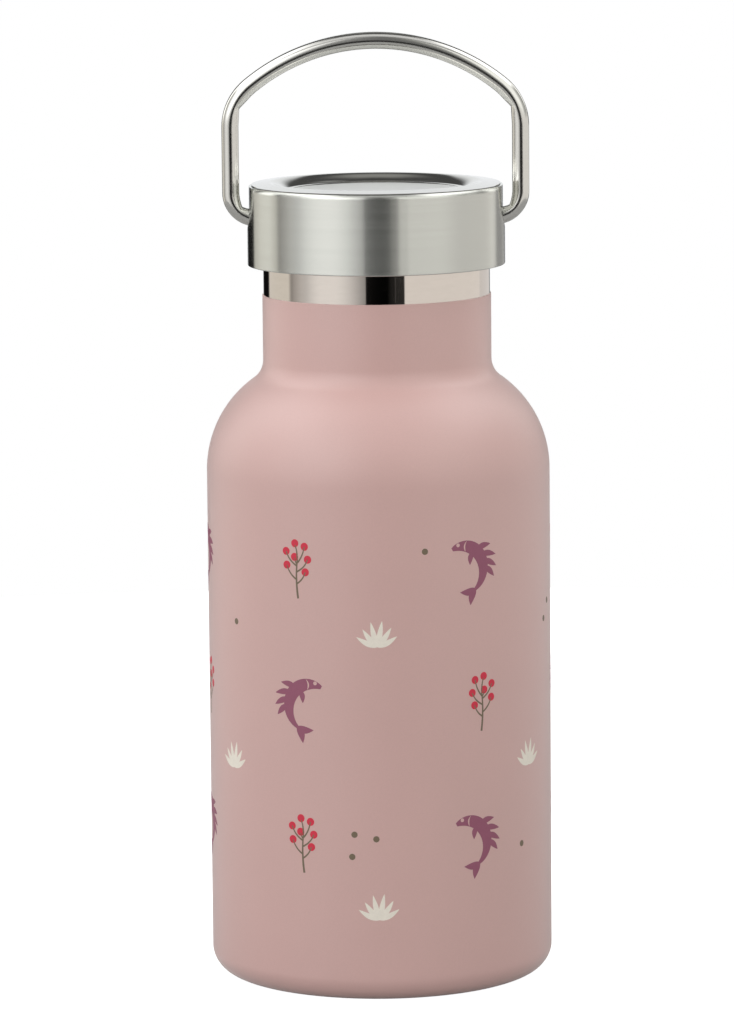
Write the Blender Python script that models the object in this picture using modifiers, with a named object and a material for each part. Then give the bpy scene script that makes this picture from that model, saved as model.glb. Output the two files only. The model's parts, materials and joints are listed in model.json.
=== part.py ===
"""Small double-wall vacuum bottle with a screw lid and a swinging wire handle.

Metres, +Z up. The origin is on the bottle's axis at the plane it stands on.
The lid is screwed home and the handle stands upright.

Bodies: the bottle stands still, the lid with its seal climbs a two-start thread,
and the wire handle swings about the two holes in the lid's skirt.
"""
import math

import bmesh
import bpy

# ---------------------------------------------------------------- driving dimensions
GAP = 0.0003                 # left between neighbouring pieces

# bottle, outside
BODY_R = 0.0355
SHOULDER_START_Z = 0.10528   # where the straight wall ends
SHOULDER_ARC_R = 0.02305     # convex arc over the shoulder
NECK_FILLET_R = 0.00503      # concave arc into the neck
NECK_R = 0.02358             # over the powder coat
NECK_STEEL_R = 0.0234        # the bare, polished band
COAT_EDGE_Z = 0.14176
RIM_Z = 0.1527               # sealing face of the mouth
BASE_FILLET_R = 0.0052
BASE_OPENING_R = 0.0260      # hole in the shell's foot, closed by the base plates
OUTER_WALL = 0.0005

# inner vessel
INNER_R = 0.0321             # inside of the straight wall
INNER_WALL = 0.0004
INNER_SHOULDER_START_Z = 0.1045
INNER_SHOULDER_ARC_R = 0.0201
INNER_FILLET_R = 0.0059
MOUTH_R = 0.0215             # root of the rolled thread
MOUTH_WALL = 0.0007
INNER_FOOT_Z = 0.0080
INNER_DISH_RIM_Z = 0.0112
DISH_BEND_R = 0.0028
LIP_DEPTH = 0.0005           # the inner vessel's lip, folded over the shell's rim

# plates that close the foot
PLATE_INSET = 0.0008         # from the start of the shell's base rounding
PLATE_DISH_R = 0.0070        # the shallow dish round the pumping hole
PLATE_DISH_TOP_R = 0.0045
PLATE_DISH_RISE = 0.0018
PUMPING_HOLE_R = 0.0012
COVER_FOOT_Z = 0.0001

# thread: two starts, right-handed
THREAD_LEAD = 0.006
THREAD_TURNS = 1.2
THREAD_BEAD_R = 0.00075
THREAD_START_Z = 0.1429
NECK_BEAD_CENTRE_R = 0.02135
PLUG_BEAD_CENTRE_R = 0.02035
PLUG_R = 0.0203

# lid
LID_R = 0.02655
LID_FOOT_Z = 0.14783
LID_TOP_Z = 0.1648           # crown of the ring round the top
LID_EDGE_R = 0.00115         # rounding between the ring and the skirt
LID_EDGE_DROP = 0.0003       # fall of the domed ring from its crown to the rounding
LID_CROWN_R = 0.0225
LID_DISC_R = 0.0175
LID_DISC_Z = 0.1630
LID_STEP_R = 0.0179          # top of the small step round the disc, foot of the slope
LID_STEP_RISE = 0.00015
LID_SLOPE_TOP_R = 0.0207
LID_SLOPE_TOP_DROP = 0.0002  # below the crown of the ring
LID_RING_START_R = 0.0213
LID_WALL = 0.0005
LINER_R = 0.0253
LINER_SKIRT_IN_R = 0.0242
LINER_TOP_Z = 0.1621
LINER_FOOT_INSET = 0.0005    # of the liner's skirt, above the shell's foot
LINER_DECK = 0.0025
FLANGE_Z = 0.1545            # underside that presses on the seal
PLUG_FOOT_Z = 0.1413
PLUG_CAVITY_R = 0.0178
PLUG_COVER_FOOT_Z = 0.1394
PLUG_COVER_FIT = 0.0004      # the cover's play in the plug, and its step inside the rim
PLUG_COVER_EDGE = 0.0008
SPIGOT_HEIGHT = 0.0015
SEAL_EDGE = 0.0004
SEAL_LIP = 0.0006
PUCK_FIT = 0.0005
PUCK_ROOM = 0.0004

# handle
WIRE_R = 0.001765
HANDLE_HALF_WIDTH = 0.0316   # over the wire
HANDLE_TOP_Z = 0.1955        # over the wire
HANDLE_ARC_R = 0.04247       # outer radius of the top arc
HANDLE_CORNER_R = 0.01268    # outer radius of the shoulders
HANDLE_BEND_R = 0.00525      # centreline radius of the lower bends
PIVOT_Z = 0.15745
PIN_TIP_X = 0.0216

# half-round recesses in the skirt where the wire goes in
RECESS_R = 0.00815
RECESS_Z = 0.1634
RECESS_FLOOR_R = 0.02615
PIVOT_HOLE_R = 0.00205
PIN_SOCKET_R = 0.0021
PIN_SOCKET_END_X = 0.0212
PAD_MARGIN = 0.0004          # of the pressed-in patch behind each recess, round its edge
PAD_TOP_DROP = 0.0009
PAD_SKIN = 0.0003            # from the skirt's face to the patch

# cutters pass this far beyond what they cut
CUT_MARGIN = 0.001
CUT_REACH = 0.04

# round pieces are this many flats
TURNED_STEPS = 40
SMALL_STEPS = 20
THREAD_STEPS = 36            # to the turn


# ---------------------------------------------------------------- helpers
def remove_everything():
    for obj in list(bpy.data.objects):
        bpy.data.objects.remove(obj, do_unlink=True)


def new_collection(name):
    collection = bpy.data.collections.new(name)
    bpy.context.scene.collection.children.link(collection)
    return collection


def new_material(name, colour, roughness, metallic):
    material = bpy.data.materials.new(name)
    material.use_nodes = True
    shader = material.node_tree.nodes["Principled BSDF"]
    shader.inputs["Base Color"].default_value = (*colour, 1.0)
    shader.inputs["Roughness"].default_value = roughness
    shader.inputs["Metallic"].default_value = metallic
    return material


def arc(centre_r, centre_z, radius, start_deg, end_deg, steps):
    """Points on an arc in the (radius, height) plane, both ends included."""
    points = []
    for i in range(steps + 1):
        angle = math.radians(start_deg + (end_deg - start_deg) * i / steps)
        points.append((centre_r + radius * math.cos(angle), centre_z + radius * math.sin(angle)))
    return points


def finish(obj, material, collection):
    collection.objects.link(obj)
    obj.data.materials.append(material)
    return obj


def turned(name, profile, material, collection, steps=TURNED_STEPS, centre=(0.0, 0.0)):
    """Turns a profile of (radius, height) points about a vertical line through centre.

    The profile runs down its outer side. One that starts and ends on the line is
    left open there, and any other is closed into a ring.
    """
    mesh = bpy.data.meshes.new(name)
    bm = bmesh.new()
    verts = [bm.verts.new((r, 0.0, z)) for r, z in profile]
    for a, b in zip(verts, verts[1:]):
        bm.edges.new((a, b))
    if profile[0][0] > 0.0 or profile[-1][0] > 0.0:
        bm.edges.new((verts[-1], verts[0]))
    bm.to_mesh(mesh)
    bm.free()
    obj = bpy.data.objects.new(name, mesh)
    obj.location = (centre[0], centre[1], 0.0)
    screw = obj.modifiers.new("turn", "SCREW")
    screw.steps = steps
    screw.render_steps = steps
    screw.use_merge_vertices = True
    screw.merge_threshold = 0.00001
    screw.use_smooth_shade = True
    return finish(obj, material, collection)


def boolean(obj, other, operation):
    modifier = obj.modifiers.new(other.name, "BOOLEAN")
    modifier.operation = operation
    modifier.solver = "EXACT"
    modifier.object = other


def hide(obj):
    obj.hide_render = True
    obj.display_type = "WIRE"
    return obj


def cross_cylinder(name, radius, x0, x1, z, sides, collection):
    """A cylinder along X, from x0 to x1 at height z, used as a cutter."""
    mesh = bpy.data.meshes.new(name)
    bm = bmesh.new()
    bmesh.ops.create_cone(
        bm, cap_ends=True, segments=sides, radius1=radius, radius2=radius, depth=x1 - x0
    )
    bm.to_mesh(mesh)
    bm.free()
    obj = bpy.data.objects.new(name, mesh)
    obj.rotation_euler = (0.0, math.pi / 2, 0.0)
    obj.location = ((x0 + x1) / 2, 0.0, z)
    collection.objects.link(obj)
    return hide(obj)


def wire(name, points, radius, resolution, material, collection):
    """A round wire through the points, turned into a mesh with welded end caps."""
    curve = bpy.data.curves.new(name, "CURVE")
    curve.dimensions = "3D"
    curve.bevel_depth = radius
    curve.bevel_resolution = resolution
    curve.use_fill_caps = True
    spline = curve.splines.new("POLY")
    spline.points.add(len(points) - 1)
    for point, place in zip(spline.points, points):
        point.co = (*place, 1.0)
    source = bpy.data.objects.new(name + "_route", curve)
    collection.objects.link(source)
    bpy.context.view_layer.update()
    evaluated = source.evaluated_get(bpy.context.evaluated_depsgraph_get())
    mesh = bpy.data.meshes.new_from_object(evaluated)
    mesh.name = name
    obj = bpy.data.objects.new(name, mesh)
    obj.matrix_world = source.matrix_world
    bpy.data.objects.remove(source, do_unlink=True)
    bpy.data.curves.remove(curve)
    bm = bmesh.new()
    bm.from_mesh(mesh)
    bmesh.ops.remove_doubles(bm, verts=bm.verts, dist=0.00001)
    bmesh.ops.recalc_face_normals(bm, faces=bm.faces)
    bm.to_mesh(mesh)
    bm.free()
    mesh.materials.clear()
    return finish(obj, material, collection)


# ---------------------------------------------------------------- profiles
def shoulder(body_r, neck_r, arc_r, fillet_r, start_z, steps):
    """Points from the neck down over the fillet and the shoulder to the straight wall."""
    arc_centre_r = body_r - arc_r
    fillet_centre_r = neck_r + fillet_r
    turn = math.degrees(math.acos((fillet_centre_r - arc_centre_r) / (arc_r + fillet_r)))
    fillet_z = start_z + (arc_r + fillet_r) * math.sin(math.radians(turn))
    fillet = arc(fillet_centre_r, fillet_z, fillet_r, 180, 180 + turn, 3)
    dome = arc(arc_centre_r, start_z, arc_r, turn, 0, steps)
    return fillet + dome[1:]


def outer_shell_profile():
    inside_fillet_r = BASE_FILLET_R - OUTER_WALL
    fillet_centre_r = BODY_R - BASE_FILLET_R
    outside = [
        (NECK_STEEL_R, RIM_Z - LIP_DEPTH - GAP),
        (NECK_STEEL_R, COAT_EDGE_Z),
        (NECK_R, COAT_EDGE_Z),
    ]
    outside += shoulder(BODY_R, NECK_R, SHOULDER_ARC_R, NECK_FILLET_R, SHOULDER_START_Z, 6)
    outside += arc(fillet_centre_r, BASE_FILLET_R, BASE_FILLET_R, 0, -90, 4)
    inside = [(BASE_OPENING_R, 0.0), (BASE_OPENING_R, OUTER_WALL)]
    inside += arc(fillet_centre_r, BASE_FILLET_R, inside_fillet_r, -90, 0, 3)
    inside += reversed(shoulder(
        BODY_R - OUTER_WALL,
        NECK_STEEL_R - OUTER_WALL,
        SHOULDER_ARC_R - OUTER_WALL,
        NECK_FILLET_R + OUTER_WALL,
        SHOULDER_START_Z,
        4,
    ))
    inside += [(NECK_STEEL_R - OUTER_WALL, RIM_Z - LIP_DEPTH - GAP)]
    return outside + inside


def inner_vessel_profile():
    lip_foot = RIM_Z - LIP_DEPTH
    outside = [(NECK_STEEL_R, RIM_Z), (NECK_STEEL_R, lip_foot), (MOUTH_R + MOUTH_WALL, lip_foot)]
    outside += shoulder(
        INNER_R + INNER_WALL,
        MOUTH_R + MOUTH_WALL,
        INNER_SHOULDER_ARC_R + INNER_WALL,
        INNER_FILLET_R - INNER_WALL,
        INNER_SHOULDER_START_Z,
        4,
    )
    outside += [(INNER_R + INNER_WALL, INNER_FOOT_Z), (INNER_R, INNER_FOOT_Z)]
    inside = reversed(shoulder(
        INNER_R, MOUTH_R, INNER_SHOULDER_ARC_R, INNER_FILLET_R, INNER_SHOULDER_START_Z, 4
    ))
    return outside + list(inside) + [(MOUTH_R, RIM_Z)]


def inner_dish_profile():
    """The welded floor of the inner vessel, a dish with its rim turned up."""
    rim_r = INNER_R - GAP
    bend = DISH_BEND_R
    foot = INNER_FOOT_Z - GAP
    outside = [(rim_r, INNER_DISH_RIM_Z)]
    outside += arc(rim_r - bend, foot + bend, bend, 0, -90, 3) + [(0.0, foot)]
    inside = [(0.0, foot + INNER_WALL)]
    inside += arc(rim_r - bend, foot + bend, bend - INNER_WALL, -90, 0, 3)
    return inside + [(rim_r - INNER_WALL, INNER_DISH_RIM_Z)] + outside


def base_plate_profile():
    """The plate that closes the vacuum space, dished up round the pumping hole."""
    rim_r = BODY_R - BASE_FILLET_R - PLATE_INSET
    low = OUTER_WALL + GAP
    high = low + OUTER_WALL
    slant = 0.0002               # keeps the plate's thickness on the dish's slope
    return [
        (rim_r, high),
        (rim_r, low),
        (PLATE_DISH_R, low),
        (PLATE_DISH_TOP_R, low + PLATE_DISH_RISE),
        (PUMPING_HOLE_R, low + PLATE_DISH_RISE),
        (PUMPING_HOLE_R, high + PLATE_DISH_RISE),
        (PLATE_DISH_TOP_R - slant, high + PLATE_DISH_RISE),
        (PLATE_DISH_R - slant, high),
    ]


def lid_ring_z(r):
    """Height of the domed ring round the lid's top at radius r."""
    run = LID_R - LID_EDGE_R - LID_CROWN_R
    return LID_TOP_Z - LID_EDGE_DROP * ((r - LID_CROWN_R) / run) ** 2


def lid_shell_profile():
    edge_r = LID_R - LID_EDGE_R
    edge_z = LID_TOP_Z - LID_EDGE_DROP - LID_EDGE_R
    mid_r = (LID_CROWN_R + edge_r) / 2
    outside = [
        (0.0, LID_DISC_Z),
        (LID_DISC_R, LID_DISC_Z),
        (LID_STEP_R, LID_DISC_Z + LID_STEP_RISE),
        (LID_SLOPE_TOP_R, LID_TOP_Z - LID_SLOPE_TOP_DROP),
        (LID_RING_START_R, LID_TOP_Z),
        (LID_CROWN_R, LID_TOP_Z),
        (mid_r, lid_ring_z(mid_r)),
    ]
    outside += arc(edge_r, edge_z, LID_EDGE_R, 90, 0, 4)
    outside += [(LID_R, LID_FOOT_Z)]
    inside = [(LID_R - LID_WALL, LID_FOOT_Z)]
    inside += arc(edge_r, edge_z, LID_EDGE_R - LID_WALL, 0, 90, 2)
    inside += [
        (LID_RING_START_R, LID_TOP_Z - LID_WALL),
        (LID_STEP_R, LID_DISC_Z - LID_WALL),
        (0.0, LID_DISC_Z - LID_WALL),
    ]
    return outside + inside


def lid_liner_profile():
    return [
        (0.0, LINER_TOP_Z),
        (LINER_R, LINER_TOP_Z),
        (LINER_R, LID_FOOT_Z + LINER_FOOT_INSET),
        (LINER_SKIRT_IN_R, LID_FOOT_Z + LINER_FOOT_INSET),
        (LINER_SKIRT_IN_R, FLANGE_Z),
        (PLUG_R, FLANGE_Z),
        (PLUG_R, PLUG_FOOT_Z),
        (PLUG_CAVITY_R, PLUG_FOOT_Z),
        (PLUG_CAVITY_R, LINER_TOP_Z - LINER_DECK),
        (0.0, LINER_TOP_Z - LINER_DECK),
    ]


def plug_cover_profile():
    spigot_r = PLUG_CAVITY_R - PLUG_COVER_FIT
    rim_r = PLUG_R - PLUG_COVER_FIT
    seat = PLUG_FOOT_Z - GAP
    return [
        (0.0, seat + SPIGOT_HEIGHT),
        (spigot_r, seat + SPIGOT_HEIGHT),
        (spigot_r, seat),
        (rim_r, seat),
        (rim_r, PLUG_COVER_FOOT_Z + PLUG_COVER_EDGE),
        (rim_r - PLUG_COVER_EDGE, PLUG_COVER_FOOT_Z),
        (0.0, PLUG_COVER_FOOT_Z),
    ]


def seal_profile():
    """The lid's seal, with a rounded lip on the side that meets the mouth."""
    inner_r = PLUG_R + SEAL_EDGE
    outer_r = NECK_STEEL_R - 0.0001
    top = FLANGE_Z - GAP
    foot = RIM_Z + GAP
    return [
        (outer_r, top),
        (outer_r, foot + SEAL_EDGE),
        (outer_r - SEAL_LIP, foot),
        (inner_r + SEAL_LIP, foot),
        (inner_r, foot + SEAL_EDGE),
        (inner_r, top),
    ]


# ---------------------------------------------------------------- pieces
def thread_beads(name, centre_r, phase_deg, material, collection):
    """The two starts of a thread, as round beads that follow right-handed helices."""
    beads = []
    steps = round(THREAD_STEPS * THREAD_TURNS)
    for start in range(2):
        points = []
        for i in range(steps + 1):
            turn = THREAD_TURNS * i / steps
            angle = 2 * math.pi * (turn + start / 2) + math.radians(phase_deg)
            height = THREAD_START_Z + THREAD_LEAD * turn
            points.append((centre_r * math.cos(angle), centre_r * math.sin(angle), height))
        bead = wire(f"{name}_{start}", points, THREAD_BEAD_R, 1, material, collection)
        beads.append(hide(bead))
    return beads


def make_bottle(steel, coat, glass, parts, cutters):
    turned("outer_shell", outer_shell_profile(), coat, parts)
    vessel = turned("inner_vessel", inner_vessel_profile(), steel, parts)
    for bead in thread_beads("neck_thread", NECK_BEAD_CENTRE_R, 0, steel, cutters):
        boolean(vessel, bead, "UNION")
    turned("inner_floor", inner_dish_profile(), steel, parts)
    turned("base_plate", base_plate_profile(), steel, parts)

    cover_r = BASE_OPENING_R - GAP
    cover = [
        (0.0, OUTER_WALL),
        (cover_r, OUTER_WALL),
        (cover_r, COVER_FOOT_Z),
        (0.0, COVER_FOOT_Z),
    ]
    turned("base_cover", cover, steel, parts)
    make_vacuum_seal(glass, parts)


def make_vacuum_seal(glass, parts):
    """The bead of solder glass that closes the pumping hole from below."""
    bead_r, bead_depth, edge_depth = 0.0034, 0.0014, 0.0005
    top = OUTER_WALL + PLATE_DISH_RISE
    bead = [
        (0.0, top),
        (bead_r, top),
        (bead_r, top - edge_depth),
        (bead_r * 0.7, top - bead_depth + 0.0002),
        (0.0, top - bead_depth),
    ]
    turned("vacuum_seal", bead, glass, parts, SMALL_STEPS)


def make_getter(steel, getter, parts):
    """The gas-absorbing pellet, in a pierced cup welded under the inner vessel's floor."""
    centre = (0.014, 0.0)
    top = INNER_FOOT_Z - 2 * GAP
    cup_r, flange_r, hole_r = 0.0043, 0.0062, 0.0022
    wall, depth, head_room = 0.0003, 0.0032, 0.0006
    cup = [
        (flange_r, top),
        (flange_r, top - wall),
        (cup_r + wall, top - wall),
        (cup_r + wall, top - depth),
        (hole_r, top - depth),
        (hole_r, top - depth + wall),
        (cup_r, top - depth + wall),
        (cup_r, top),
    ]
    turned("getter_cup", cup, steel, parts, SMALL_STEPS, centre)
    pellet_r = cup_r - GAP
    low = top - depth + wall + GAP
    high = top - head_room
    pellet = [(0.0, high), (pellet_r, high), (pellet_r, low), (0.0, low)]
    turned("getter_pellet", pellet, getter, parts, SMALL_STEPS, centre)


def recess_cutter(name, inner_r, outer_r, radius, top_z, material, cutters):
    """The two half-round patches of a ring that lie round the pivots, as one cutter."""
    low = RECESS_Z - radius - CUT_MARGIN
    ring = [(outer_r, top_z), (outer_r, low), (inner_r, low), (inner_r, top_z)]
    patch = hide(turned(name + "_ring", ring, material, cutters))
    disc = cross_cylinder(name, radius, -CUT_REACH, CUT_REACH, RECESS_Z, 48, cutters)
    boolean(disc, patch, "INTERSECT")
    return disc


def make_lid(steel, liner_plastic, foam, rubber, parts, cutters):
    turned("lid_seal", seal_profile(), rubber, parts)

    shell = turned("lid_shell", lid_shell_profile(), steel, parts)
    pad = recess_cutter(
        "recess_pad",
        RECESS_FLOOR_R - LID_WALL,
        LID_R - PAD_SKIN,
        RECESS_R + PAD_MARGIN,
        LID_TOP_Z - PAD_TOP_DROP,
        steel,
        cutters,
    )
    cut = recess_cutter(
        "recess_cut",
        RECESS_FLOOR_R,
        LID_R + CUT_MARGIN,
        RECESS_R,
        LID_TOP_Z + CUT_MARGIN,
        steel,
        cutters,
    )
    hole = cross_cylinder("pivot_hole", PIVOT_HOLE_R, -CUT_REACH, CUT_REACH, PIVOT_Z, 24, cutters)
    boolean(shell, pad, "UNION")
    boolean(shell, cut, "DIFFERENCE")
    boolean(shell, hole, "DIFFERENCE")

    liner = turned("lid_liner", lid_liner_profile(), liner_plastic, parts)
    for bead in thread_beads("plug_thread", PLUG_BEAD_CENTRE_R, 90, liner_plastic, cutters):
        boolean(liner, bead, "UNION")
    sides = (("left", -CUT_REACH, -PIN_SOCKET_END_X), ("right", PIN_SOCKET_END_X, CUT_REACH))
    for side, x0, x1 in sides:
        socket = cross_cylinder("pin_socket_" + side, PIN_SOCKET_R, x0, x1, PIVOT_Z, 16, cutters)
        boolean(liner, socket, "DIFFERENCE")

    turned("plug_cover", plug_cover_profile(), liner_plastic, parts)
    puck_r = PLUG_CAVITY_R - PUCK_FIT
    low = PLUG_FOOT_Z - GAP + SPIGOT_HEIGHT + PUCK_ROOM
    high = LINER_TOP_Z - LINER_DECK - PUCK_ROOM
    puck = [(0.0, high), (puck_r, high), (puck_r, low), (0.0, low)]
    turned("lid_insulation", puck, foam, parts)


def handle_half():
    """Centreline of the right half of the handle, from its pin tip to the crown."""
    centre_x = HANDLE_HALF_WIDTH - WIRE_R
    bend_x = centre_x - HANDLE_BEND_R
    points = [(PIN_TIP_X, PIVOT_Z)]
    points += arc(bend_x, PIVOT_Z + HANDLE_BEND_R, HANDLE_BEND_R, -90, 0, 5)
    corner_r = HANDLE_CORNER_R - WIRE_R
    top_r = HANDLE_ARC_R - WIRE_R
    top_centre_z = HANDLE_TOP_Z - HANDLE_ARC_R
    corner_x = centre_x - corner_r
    turn = math.degrees(math.acos(corner_x / (top_r - corner_r)))
    corner_z = top_centre_z + (top_r - corner_r) * math.sin(math.radians(turn))
    points += arc(corner_x, corner_z, corner_r, 0, turn, 5)
    points += arc(0.0, top_centre_z, top_r, turn, 90, 6)[1:]
    return points


def make_handle(steel, parts):
    half = handle_half()
    route = [(x, 0.0, z) for x, z in half]
    route += [(-x, 0.0, z) for x, z in reversed(half[:-1])]
    pivot = bpy.data.objects.new("handle_pivot", None)
    pivot.location = (0.0, 0.0, PIVOT_Z)
    parts.objects.link(pivot)
    handle = wire("bail_handle", route, WIRE_R, 2, steel, parts)
    handle.data.transform(pivot.matrix_basis.inverted())
    handle.parent = pivot


def build():
    remove_everything()
    parts = new_collection("vacuum_bottle")
    cutters = new_collection("cutters")
    steel = new_material("stainless_steel", (0.62, 0.60, 0.58), 0.28, 1.0)
    coat = new_material("pink_powder_coat", (0.56, 0.37, 0.33), 0.6, 0.0)
    liner_plastic = new_material("pale_polypropylene", (0.75, 0.75, 0.73), 0.45, 0.0)
    rubber = new_material("clear_silicone", (0.80, 0.80, 0.78), 0.4, 0.0)
    foam = new_material("white_foam", (0.85, 0.85, 0.85), 0.9, 0.0)
    glass = new_material("solder_glass", (0.12, 0.12, 0.14), 0.2, 0.0)
    getter = new_material("getter_alloy", (0.25, 0.25, 0.26), 0.7, 1.0)

    make_bottle(steel, coat, glass, parts, cutters)
    make_getter(steel, getter, parts)
    make_lid(steel, liner_plastic, foam, rubber, parts, cutters)
    make_handle(steel, parts)
    bpy.context.view_layer.update()


build()
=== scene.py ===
"""Looks of a small double-wall vacuum bottle: fine surfaces, finishes, light and camera.

Metres, +Z up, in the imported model's frame. The bottle stands on z = 0 and its front
faces -Y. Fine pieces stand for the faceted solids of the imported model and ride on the
same bodies. Angles round the bottle start at the front and grow towards +X.
"""
import json
import math

import bmesh
import bpy
import numpy as np
from mathutils import Matrix, Vector
from mathutils.geometry import delaunay_2d_cdt


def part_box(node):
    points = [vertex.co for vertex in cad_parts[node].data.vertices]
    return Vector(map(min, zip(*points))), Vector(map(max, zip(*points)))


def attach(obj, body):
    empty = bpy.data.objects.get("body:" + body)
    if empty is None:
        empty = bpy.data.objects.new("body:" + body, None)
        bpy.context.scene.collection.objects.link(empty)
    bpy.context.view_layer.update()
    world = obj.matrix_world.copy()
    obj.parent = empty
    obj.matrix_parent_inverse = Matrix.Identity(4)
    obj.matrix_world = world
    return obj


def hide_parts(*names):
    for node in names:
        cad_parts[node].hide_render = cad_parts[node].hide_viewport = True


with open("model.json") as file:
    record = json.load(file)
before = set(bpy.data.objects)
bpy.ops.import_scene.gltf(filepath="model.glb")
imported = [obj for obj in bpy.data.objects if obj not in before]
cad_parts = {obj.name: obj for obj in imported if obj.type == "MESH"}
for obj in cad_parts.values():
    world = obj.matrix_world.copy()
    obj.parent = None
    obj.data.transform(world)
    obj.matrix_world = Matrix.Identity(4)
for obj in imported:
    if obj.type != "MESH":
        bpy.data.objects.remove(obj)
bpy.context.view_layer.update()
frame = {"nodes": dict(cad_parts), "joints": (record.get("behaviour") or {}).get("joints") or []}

# -------- sizes from the frame
BODY_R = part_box("outer_shell")[1].x
RIM_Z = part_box("inner_vessel")[1].z
LID_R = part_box("lid_shell")[1].x
LID_TOP_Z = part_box("lid_shell")[1].z
LID_FOOT_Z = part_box("lid_shell")[0].z
LINER_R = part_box("lid_liner")[1].x
LINER_TOP_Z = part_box("lid_liner")[1].z
PLUG_FOOT_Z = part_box("lid_liner")[0].z
COVER_FOOT_Z, COVER_TOP_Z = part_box("plug_cover")[0].z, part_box("plug_cover")[1].z
SEAL_FOOT_Z, SEAL_TOP_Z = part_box("lid_seal")[0].z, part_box("lid_seal")[1].z
SEAL_OUT_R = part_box("lid_seal")[1].x
BASE_COVER_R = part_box("base_cover")[1].x
HANDLE_HALF_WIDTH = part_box("bail_handle")[1].x
HANDLE_TOP_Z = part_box("bail_handle")[1].z
PIVOT_Z = next(joint["pos_m"][2] for joint in frame["joints"] if joint["name"] == "handle_swing")

# -------- bottle
COAT_ROOM = 0.00003          # left under the box for the printed inks
COAT_THICKNESS = 0.00018
SKIN_GAP = 0.00002           # between the coat and the steel under it
SHOULDER_START_Z = 0.10528
SHOULDER_ARC_R = 0.02305
NECK_FILLET_R = 0.00503
NECK_COAT_R = 0.02358
NECK_STEEL_R = 0.0234
COAT_EDGE_Z = 0.14176
BASE_FILLET_R = 0.0052
BASE_OPENING_R = 0.0260
OUTER_WALL = 0.0005
LIP_DEPTH = 0.0005
GAP = 0.0003

INNER_R = 0.0321
INNER_WALL = 0.0004
INNER_SHOULDER_START_Z = 0.1045
INNER_SHOULDER_ARC_R = 0.0201
INNER_FILLET_R = 0.0059
INNER_FOOT_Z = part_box("inner_vessel")[0].z
DISH_RIM_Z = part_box("inner_floor")[1].z
DISH_BEND_R = 0.0028
MOUTH_R = 0.0215
MOUTH_WALL = 0.0007

# thread: right-handed, with one of its two starts drawn
THREAD_LEAD = 0.006
THREAD_TURNS = 1.2
THREAD_START_Z = 0.1429
THREAD_HALF_WIDTH = 0.00095
THREAD_FADE = 0.06           # of a turn, at each end of a ridge
NECK_THREAD_HEIGHT = 0.0009
PLUG_THREAD_HEIGHT = 0.0008
PLUG_THREAD_PHASE = math.radians(90)

# -------- lid
LID_EDGE_R = 0.00115
LID_PEAK_R = 0.0220          # highest circle of the ring round the top
LID_RING_FALL = 6.3          # degrees that the ring falls outwards from there
LID_BROW_R = 0.0022          # tight rounding at the peak, then a slow curve down the dish
LID_BROW_SLOPE = 18.0
LID_DISH_R = 0.0110
LID_DISH_SLOPE = 34.0
LID_DISH_BEND_R = 0.0010
LID_LAND_R = 0.0178          # small step round the flat disc
LID_DISC_R = 0.0175
LID_DISC_Z = 0.1630
LID_WALL = 0.0005
RECESS_R = 0.0080
RECESS_Z = 0.1636
RECESS_FLOOR_R = 0.02615
RECESS_EDGE = 0.00022        # half the width of the recess's soft edge
PIVOT_HOLE_R = 0.00205
SOCKET_R = 0.0021            # blind hole for a handle pin in the liner
SOCKET_END_X = 0.0212
SOCKET_DRILL = 0.02          # length of the tool that cuts it
THROUGH_DRILL = 0.08         # and of the one that goes through both sides of the cap
LINER_SKIRT_IN_R = 0.0242
LINER_DECK = 0.0025
FLANGE_Z = 0.1545
PLUG_R = 0.0203
PLUG_WALL_Z = (PLUG_FOOT_Z + 0.0003, FLANGE_Z - 0.0002)      # between the plug's rounded edges
PLUG_CAVITY_R = 0.0178
PLUG_FIT = 0.0004            # of the ring and the cover on the plug
LINER_FOOT_ROOM = 0.0005
MOULDED_EDGE_R = 0.0003

# -------- handle
WIRE_R = 0.001765
HANDLE_ARC_R = 0.04247
HANDLE_CORNER_R = 0.01268
HANDLE_BEND_R = 0.00525
PIN_TIP_X = 0.0216
CREASE_DEPTH = 0.0006        # fold on the inner side of each bend
CREASE_LENGTH = 0.0036       # from the fold to where its flats run out
PIN_CHAMFER = 0.0003
WIRE_SIDES = 40
BEND_STEPS = 48
CORNER_STEPS = 56
CORNER_CREASE = 26           # the corner's step that its fold is at

# -------- fineness
COLUMNS = 240                # flats round a turned piece
COAT_COLUMNS = 288
THREAD_COLUMNS = 216
PLAIN_COLUMNS = 200
DISH_COLUMNS = 160
THREAD_STEP = 0.00022        # height of a row of faces on a threaded wall
SHARP_DEG = 40               # an edge that turns by more is shaded as a crease
MERGE_DISTANCE = 1e-7


# ======== mesh helpers
def arc(centre_r, centre_z, radius, start_deg, end_deg, steps):
    """Points on an arc in the (radius, height) plane, both ends included."""
    angles = np.radians(np.linspace(start_deg, end_deg, steps + 1))
    return [(centre_r + radius * math.cos(a), centre_z + radius * math.sin(a)) for a in angles]


def soften(profile, radius, closed=False, steps=4, from_deg=20):
    """Rounds a profile's corners that turn by more than from_deg, with a short flat beside each."""
    points = [Vector(p) for p in profile]
    count = len(points)
    rounded = []
    for i, point in enumerate(points):
        ends_here = not closed and i in (0, count - 1)
        before, after = points[i - 1] - point, points[(i + 1) % count] - point
        kept = ends_here or min(before.length, after.length) < MERGE_DISTANCE
        if kept or math.degrees(math.pi - before.angle(after)) < from_deg:
            rounded.append(tuple(point))
            continue
        cut = min(radius, 0.3 * before.length, 0.3 * after.length)
        start, end = point + before.normalized() * cut, point + after.normalized() * cut
        rounded.append(tuple(point + before.normalized() * cut * 1.5))
        for t in np.linspace(0, 1, steps + 1):
            rounded.append(tuple(start * (1 - t) ** 2 + point * 2 * t * (1 - t) + end * t ** 2))
        rounded.append(tuple(point + after.normalized() * cut * 1.5))
    return rounded


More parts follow.
